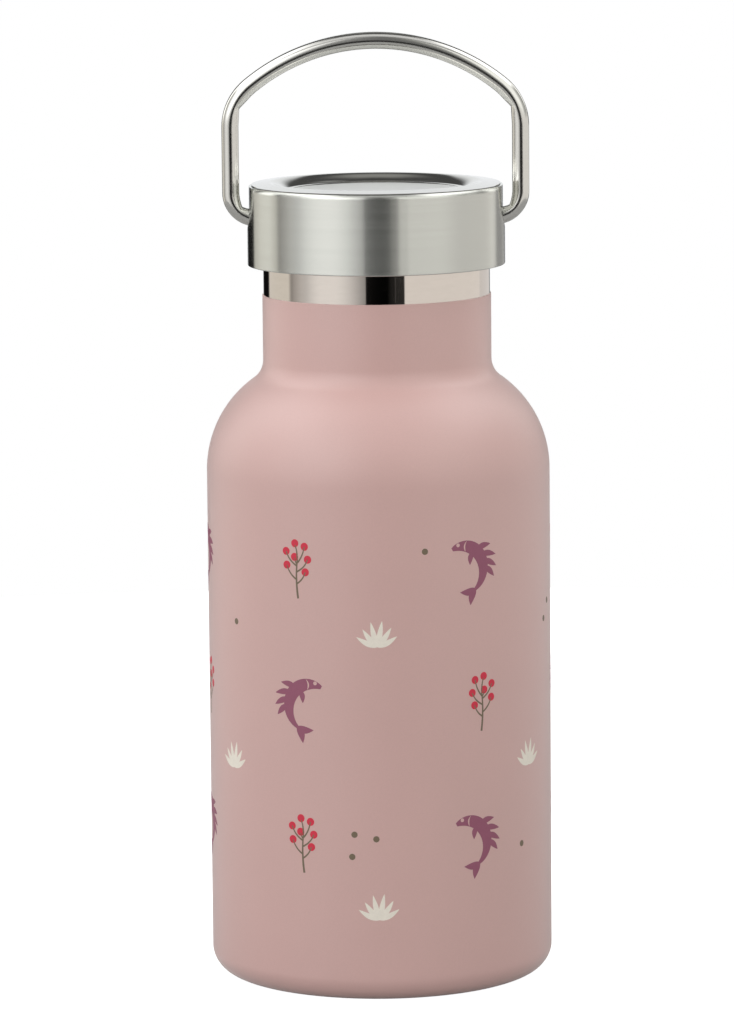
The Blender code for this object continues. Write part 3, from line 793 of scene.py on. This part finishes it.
def make_handle():
    half, creases = handle_half()
    route = np.array(half + [(-x, z) for x, z in reversed(half[:-1])])
    creases = np.array([(sign * x, z) for x, z in creases for sign in (1, -1)])
    around = np.linspace(0, 2 * math.pi, WIRE_SIDES, endpoint=False)
    facing_in = smoothstep(0.1, 0.9, -np.cos(around))
    ahead = np.gradient(route, axis=0)
    ahead /= np.linalg.norm(ahead, axis=1)[:, None]
    outwards = np.stack([ahead[:, 1], -ahead[:, 0]], -1)
    rings = []
    for point, out in zip(route, outwards):
        nearest = np.min(np.linalg.norm(creases - point, axis=1))
        dent = CREASE_DEPTH * max(0.0, 1 - nearest / CREASE_LENGTH) ** 2
        reach = WIRE_R * np.cos(around) + dent * facing_in
        places = [point[0] + out[0] * reach, WIRE_R * np.sin(around), point[1] + out[1] * reach]
        rings.append(np.stack(places, -1))
    rings = [pin_end(rings[0], rings[1])] + rings + [pin_end(rings[-1], rings[-2])]
    vertices = np.concatenate(rings)
    faces = grid_faces(len(rings), WIRE_SIDES, False)
    faces.append(tuple(range(WIRE_SIDES)))
    faces.append(tuple(range(len(vertices) - WIRE_SIDES, len(vertices))))
    handle = mesh_piece("bail_handle_wire", vertices, faces, [wire_finish])
    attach(handle, "handle")
    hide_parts("bail_handle")


def pin_end(ring, inner_ring):
    """The smaller ring that chamfers a pin's tip, level with the tip; the first ring moves back."""
    centre = ring.mean(axis=0)
    direction = centre - inner_ring.mean(axis=0)
    direction /= np.linalg.norm(direction)
    end = centre + (ring - centre) * (1 - PIN_CHAMFER / WIRE_R)
    ring -= direction * PIN_CHAMFER
    return end


# ======== printed pattern
MM = 0.001                   # the drawings below are in millimetres
PRINT_THICKNESS = 0.00002
PRINT_SINK = 0.000004        # of a print's back into the coat, so that no gap shows
WRAP_STRIP = 0.0005          # width of the flat strips that a print is bent in

# columns of the pattern, in degrees round the bottle, and the heights of its rows in mm
MOTIF_COLUMNS = (-83.5, -27.5, 32.5, 92.5, 152.5, 212.5)
FISH_COLUMN = (("fish", -0.5, 89.0, 1), ("sprig", 3.1, 61.2, -1), ("fish", 0.4, 32.4, 1))
SPRIG_COLUMN = (("sprig", -0.6, 89.2, 1), ("fish", 0.2, 61.2, -1), ("sprig", 0.6, 32.7, 1))
TUFT_COLUMNS = (-1.0, 58.6, 120.0, 180.0, 240.0, 302.0)
TUFT_ROWS = ((76.5, 20.3), (49.0,))
FRONT_DOTS = (
    (15.0, 92.9), (-55.6, 76.7), (-9.0, 35.1), (-1.8, 34.2),
    (-9.8, 30.5), (54.1, 30.1), (76.4, 78.7), (71.9, 75.3),
)
REPEATED_DOTS = (0, 2, 3, 4)


def circle(centre_x, centre_y, radius, count=20):
    angles = np.linspace(0, 2 * math.pi, count, endpoint=False)
    return [(centre_x + radius * math.cos(a), centre_y + radius * math.sin(a)) for a in angles]


def petal(root, tip, width, bow=0.0, steps=12):
    """A pointed leaf outline from root to tip. bow bends it sideways."""
    root, tip = np.array(root, float), np.array(tip, float)
    along = tip - root
    side = np.array([-along[1], along[0]]) / np.linalg.norm(along)
    left, right = [], []
    for t in np.linspace(0, 1, steps + 1):
        spine = root + along * t + side * bow * math.sin(math.pi * t)
        half = width / 2 * math.sin(math.pi * t ** 0.8) ** 0.9 if 0 < t < 1 else 0.0
        left.append(tuple(spine + side * half))
        right.append(tuple(spine - side * half))
    return left + right[-2:0:-1]


def stroke(start, bend, end, width, steps=14):
    """A thin stem from start to end, bowed towards bend, narrower at its end."""
    start, bend, end = (np.array(p, float) for p in (start, bend, end))
    left, right = [], []
    for t in np.linspace(0, 1, steps + 1):
        point = start * (1 - t) ** 2 + bend * 2 * t * (1 - t) + end * t ** 2
        ahead = (bend - start) * (1 - t) + (end - bend) * t
        side = np.array([-ahead[1], ahead[0]]) / np.linalg.norm(ahead)
        half = width / 2 * (1 - 0.35 * t)
        left.append(tuple(point + side * half))
        right.append(tuple(point - side * half))
    return left + right[::-1]


def fish_shapes():
    """A leaping fish, head up and to the left, and the eye and gill left blank in it."""
    spine_centre, spine_r = np.array([-2.3, -0.5]), 5.0
    head_deg, length_deg, tail_deg, half_depth = 118, 178, -52, 1.75
    fins = ((52, 2.4, 16), (36, 2.6, 18), (20, 2.3, 18), (5, 1.9, 18))       # (place, reach, sweep)

    def on_spine(degrees, offset=0.0):
        a = math.radians(degrees)
        return spine_centre + (spine_r + offset) * np.array([math.cos(a), math.sin(a)])

    outer, inner = [], []
    for t in np.linspace(0, 1, 30):
        half = half_depth * math.sin(math.pi * min(1.0, t * 0.92 + 0.04)) ** 0.75 * (1 - 0.45 * t)
        outer.append(tuple(on_spine(head_deg - length_deg * t, half)))
        inner.append(tuple(on_spine(head_deg - length_deg * t, -half)))
    shapes = [outer + inner[::-1]]
    tail = on_spine(tail_deg)
    shapes.append(petal(tail, tail + (-3.7, -0.5), 1.5, 0.35))
    shapes.append(petal(tail, tail + (-1.3, -3.3), 1.5, -0.35))
    for degrees, reach, sweep in fins:
        tip = on_spine(degrees - sweep, 1.1 + reach)
        shapes.append(petal(on_spine(degrees, 0.4), tip, 1.25, 0.15))
    shapes.append(petal(on_spine(58, -0.6), on_spine(30, -3.0), 1.2, -0.2))
    eye = circle(*on_spine(101, 0.35), 0.4, 14)
    gill = petal(on_spine(80, -1.15), on_spine(80, 1.2), 0.34, 0.4)
    return shapes, [eye, gill]


SPRIG_BERRIES = (
    (-2.3, 0.7), (-2.45, 3.5), (-0.4, 5.2), (1.75, 4.6), (2.45, 2.0), (-0.5, 2.4), (1.9, -0.6),
)
BERRY_R = 0.83
DOT_R = 0.66


def sprig_stems():
    """A bare twig that forks to its berries."""
    trunk_width, branch_width, twig_width = 0.46, 0.36, 0.32
    shapes = [stroke((0.25, -6.05), (-0.35, -2.0), (0.1, 1.6), trunk_width)]
    shapes.append(stroke((0.1, 1.5), (0.2, 3.6), (-0.35, 4.8), branch_width))
    forks = ((-0.05, -2.2), (0.0, 0.6), None, (0.1, 1.2), (0.0, -0.6), None, (0.05, -3.0))
    for fork, berry in zip(forks, SPRIG_BERRIES):
        if fork:
            bend = (berry[0] * 0.75, (fork[1] * 0.65 + berry[1] * 0.35))
            shapes.append(stroke(fork, bend, berry, branch_width))
    shapes.append(stroke((0.08, 0.9), (-0.35, 1.4), (-0.5, 2.2), twig_width))
    return shapes, []


def sprig_berries():
    return [circle(x, y, BERRY_R) for x, y in SPRIG_BERRIES], []


def tuft_shapes():
    """Blades that fan out of one point, tallest in the middle, as (degrees, length)."""
    blades = ((-64, 4.7), (-39, 4.7), (-14, 5.3), (11, 5.5), (36, 4.9), (62, 4.6))
    shapes = []
    for degrees, length in blades:
        a = math.radians(degrees)
        tip = (length * math.sin(a), -2.8 + length * math.cos(a))
        shapes.append(petal((0.0, -2.85), tip, 1.12, -0.25 * math.sin(a)))
    shapes.append(circle(0.0, -2.25, 0.55))
    return shapes, []


def dot_shape():
    return [circle(0.0, 0.0, DOT_R, 12)], []


def anticlockwise(outline):
    area = sum(x0 * y1 - x1 * y0 for (x0, y0), (x1, y1) in zip(outline, outline[1:] + outline[:1]))
    return outline if area > 0 else outline[::-1]


def filled(shapes, blanks):
    """Triangles over the union of the shapes, less the blanks, as (points, faces) in mm."""
    points, outlines = [], []
    for outline in map(anticlockwise, shapes + blanks):
        outlines.append(list(range(len(points), len(points) + len(outline))))
        points += [Vector(p) for p in outline]
    flat, _, faces, _, _, sources = delaunay_2d_cdt(points, [], outlines, 1, 1e-5)
    kept = [face for face, owners in zip(faces, sources) if all(k < len(shapes) for k in owners)]
    return flat, kept


def wrap_print(name, motif, places, material):
    """Cuts a motif out of thin film and bends a copy round the bottle at each place."""
    flat, faces = filled(*motif)
    master = bmesh.new()
    verts = [master.verts.new((p.x * MM, 0.0, p.y * MM)) for p in flat]
    for face in faces:
        master.faces.new([verts[k] for k in face])
    reach = max(abs(v.co.x) for v in master.verts)
    for strip in range(-int(reach / WRAP_STRIP), int(reach / WRAP_STRIP) + 1):
        everything = master.verts[:] + master.edges[:] + master.faces[:]
        bmesh.ops.bisect_plane(
            master, geom=everything, plane_co=(strip * WRAP_STRIP, 0, 0), plane_no=(1, 0, 0), dist=1e-8
        )
    bmesh.ops.delete(master, geom=[v for v in master.verts if not v.link_faces], context="VERTS")
    raised = bmesh.ops.extrude_face_region(master, geom=master.faces[:], use_keep_orig=True)["geom"]
    for vert in (g for g in raised if isinstance(g, bmesh.types.BMVert)):
        vert.co.y = PRINT_THICKNESS
    shape = np.array([v.co for v in master.verts])
    master.verts.index_update()
    indices = [[v.index for v in f.verts] for f in master.faces]
    master.free()
    coat_r = BODY_R - COAT_ROOM - PRINT_SINK
    vertices, all_faces = [], []
    for degrees, height, facing in places:
        base = sum(len(v) for v in vertices)
        angle = math.radians(degrees) + facing * shape[:, 0] / coat_r
        radius = coat_r + shape[:, 1]
        vertices.append(np.stack(
            [radius * np.sin(angle), -radius * np.cos(angle), height * MM + shape[:, 2]], -1
        ))
        all_faces += [[base + k for k in face] for face in indices]
    piece = mesh_piece(name, np.concatenate(vertices), all_faces, [material])
    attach(piece, "bottle")


def motif_places():
    """Where each motif is printed: (degrees, height in mm, facing)."""
    places = {"fish": [], "sprig": [], "tuft": [], "dot": []}
    for number, column in enumerate(MOTIF_COLUMNS):
        for motif, shift, height, facing in (SPRIG_COLUMN if number % 2 else FISH_COLUMN):
            places[motif].append((column + shift, height, facing))
    for number, column in enumerate(TUFT_COLUMNS):
        for height in TUFT_ROWS[number % 2]:
            places["tuft"].append((column, height, 1))
    places["dot"] = [(degrees, height, 1) for degrees, height in FRONT_DOTS]
    for turn in (120, 240):
        for k in REPEATED_DOTS:
            places["dot"].append((FRONT_DOTS[k][0] + turn, FRONT_DOTS[k][1], 1))
    return places


def make_prints():
    places = motif_places()
    stem_ink = ink("brown_ink", srgb(118, 104, 84))
    wrap_print("print_fish", fish_shapes(), places["fish"], ink("purple_ink", srgb(149, 85, 108)))
    wrap_print("print_sprig_stems", sprig_stems(), places["sprig"], stem_ink)
    wrap_print("print_berries", sprig_berries(), places["sprig"], ink("red_ink", srgb(212, 44, 69)))
    wrap_print("print_leaf_tufts", tuft_shapes(), places["tuft"], ink("cream_ink", srgb(238, 231, 218)))
    wrap_print("print_dots", dot_shape(), places["dot"], stem_ink)


# ======== carried-over parts
def finish_hidden_parts():
    """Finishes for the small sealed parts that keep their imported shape."""
    finishes = {
        "base_plate": pressed_finish,
        "vacuum_seal": glass_finish,
        "getter_cup": pressed_finish,
        "getter_pellet": getter_finish,
        "lid_insulation": foam_finish,
    }
    for node, finish in finishes.items():
        obj = frame["nodes"][node]
        obj.data.materials.clear()
        obj.data.materials.append(finish)


# ======== studio
FLOOR_R = 0.50
FLOOR_DROP = 0.00002         # below the bottle's foot
FLOOR_GREY = srgb(170, 170, 170)
WHITE = (1.0, 1.0, 1.0, 1.0)

# Soft lights and flags round the bottle, as the bottle sees them. Degrees: the azimuth
# starts at the front and grows to the right, and the elevation starts at the horizon.
# A later light covers an earlier one, and a flag takes away its share of the light.
# (name, azimuth, half width, soft edge, lowest, highest, soft edge, colour or share)
LIGHTS = (
    ("overhead", 0, 105, 20, 56, 91, 6, (0.80, 0.80, 0.80)),
    ("left_top", -96, 40, 14, 34, 68, 8, (2.25, 2.25, 2.25)),
    ("right_top", 102, 38, 14, 34, 68, 8, (2.35, 2.35, 2.35)),
    ("back_glow", 180, 15, 9, 46, 62, 6, (0.30, 0.30, 0.29)),
    ("left_wall", -120, 22, 4, -40, 8, 6, (0.77, 0.74, 0.68)),
    ("left_wall_high", -119, 12, 6, 4, 34, 6, (1.95, 1.95, 1.9)),
    ("left_strip", -88, 9, 5, -40, 34, 6, (0.29, 0.27, 0.25)),
    ("left_strip_high", -88, 9, 5, 6, 34, 6, (0.55, 0.54, 0.52)),
    ("left_front", -50, 32, 26, -40, 6, 8, (0.94, 0.93, 0.92)),
    ("left_key", -43, 29, 25, 4, 50, 6, (2.15, 2.15, 2.15)),
    ("right_wall", 74, 61, 3, -40, 8, 6, (0.87, 0.84, 0.81)),
    ("right_strip", 146, 17, 2, -9, -4, 1, (0.75, 0.73, 0.72)),
    ("right_wall_high", 66, 46, 14, 8, 38, 6, (0.55, 0.55, 0.53)),
    ("right_back_high", 134, 10, 6, 8, 33, 6, (1.7, 1.7, 1.65)),
    ("right_key", 42, 30, 14, 6, 48, 6, (1.26, 1.26, 1.22)),
    ("below", 0, 181, 1, -91, -31, 4, (0.75, 0.73, 0.70)),
)
FLAGS = (
    ("front_flag", 3.8, 14.9, 0.5, -11.5, -1, 1.5, 0.98),
    ("front_flag_low", 4.8, 15.5, 0.5, -30, -11.5, 1.5, 0.55),
    ("front_flag_high", 4.8, 15.5, 0.5, -1, 45, 1.5, 0.50),
    ("low_flag", 23.3, 4.8, 0.5, -8.5, -3.5, 1, 0.97),
    ("left_back_flag", -155.5, 14, 2.5, -60, 0, 1.5, 0.93),
    ("right_back_flag", 158, 12, 2.0, -3.5, 2, 0.5, 0.7),
)
BACKDROP = ("backdrop", 180, 11, 5, -14, 30, 2.5, (0.91, 0.93, 0.95))
AMBIENT = (0.07, 0.07, 0.07, 1.0)


def soft_window(g, azimuth, elevation, centre, half, feather, low, high, soft):
    """1 inside a rectangle of directions, fading to 0 over its soft edges."""
    half, feather, low, high, soft = (math.radians(v) for v in (half, feather, low, high, soft))
    away = g.math("SUBTRACT", azimuth, math.radians(centre))
    away = g.math("ABSOLUTE", g.math("WRAP", away, math.pi, -math.pi))
    across = g.smooth(away, half - feather, half + feather, 1.0, 0.0)
    above = g.smooth(elevation, low - soft, low + soft)
    below = g.smooth(elevation, high - soft, high + soft, 1.0, 0.0)
    return g.math("MULTIPLY", across, g.math("MULTIPLY", above, below))


def make_studio_light():
    """A ring of soft panels far from the bottle. Looked at directly, the studio is plain white."""
    world = bpy.data.worlds.new("studio")
    world.use_nodes = True
    tree = world.node_tree
    tree.nodes.clear()
    g = Graph(tree)
    direction = g.node("ShaderNodeTexCoord").outputs["Generated"]
    x, y, z = g.node("ShaderNodeSeparateXYZ", {0: direction}).outputs
    azimuth = g.math("ARCTAN2", x, g.math("MULTIPLY", y, -1.0))
    elevation = g.math("ARCSINE", z)
    total = AMBIENT
    for _, *edges, colour in LIGHTS:
        window = soft_window(g, azimuth, elevation, *edges)
        total = g.mix(window, total, (*colour, 1.0))
    for _, *edges, share in FLAGS:
        window = soft_window(g, azimuth, elevation, *edges)
        total = g.mix(g.math("MULTIPLY", window, share), total, (0.0, 0.0, 0.0, 1.0))
    _, *edges, colour = BACKDROP
    total = g.mix(soft_window(g, azimuth, elevation, *edges), total, (*colour, 1.0))
    seen = g.node("ShaderNodeLightPath").outputs["Is Camera Ray"]
    colour = g.mix(seen, total, WHITE)
    background = g.node("ShaderNodeBackground", {"Color": colour, "Strength": 1.0})
    output = g.node("ShaderNodeOutputWorld")
    g.put(output.inputs["Surface"], background.outputs[0])
    bpy.context.scene.world = world
    world.cycles.sampling_method = "MANUAL"
    world.cycles.sample_map_resolution = 1024


def make_floor():
    bm = bmesh.new()
    bmesh.ops.create_circle(bm, cap_ends=True, segments=96, radius=FLOOR_R)
    paper = {"Specular IOR Level": 0.1, "Emission Color": WHITE}
    material, g, shader = new_material("studio_paper", paper)
    fibre = g.noise(g.place()[0], 400, 3)
    g.surface(shader, FLOOR_GREY, g.spread(fibre, 0.99, 1.01), 0.9)
    g.put(shader.inputs["Emission Strength"], g.node("ShaderNodeLightPath").outputs["Is Camera Ray"])
    floor = new_object("studio_floor", mesh_from("studio_floor", bm))
    floor.data.materials.append(material)
    floor.location.z = -FLOOR_DROP


# ======== camera
CAMERA_PLACE = (-0.002414, -1.15725, 0.26570)
CAMERA_PITCH = math.radians(8.3386)      # looking down
CAMERA_ROLL = math.radians(-0.5228)
CAMERA_LENS = 198.31
SENSOR = 36.0


def make_camera():
    camera = bpy.data.cameras.new("camera")
    camera.sensor_width = SENSOR
    camera.lens = CAMERA_LENS
    camera.clip_start = 0.05
    camera.clip_end = 20.0
    turn = Matrix.Rotation(math.pi / 2 - CAMERA_PITCH, 4, "X") @ Matrix.Rotation(CAMERA_ROLL, 4, "Z")
    obj = new_object("camera", camera)
    obj.matrix_world = Matrix.Translation(CAMERA_PLACE) @ turn
    bpy.context.scene.camera = obj


bpy.context.scene.view_settings.view_transform = "Standard"
make_camera()
make_floor()
make_studio_light()
make_powder_coat()
make_steel_shell()
make_inner_vessel()
make_inner_floor()
make_base_cover()
make_lid_shell()
make_lid_liner()
make_seal_and_cover()
make_handle()
make_prints()
finish_hidden_parts()
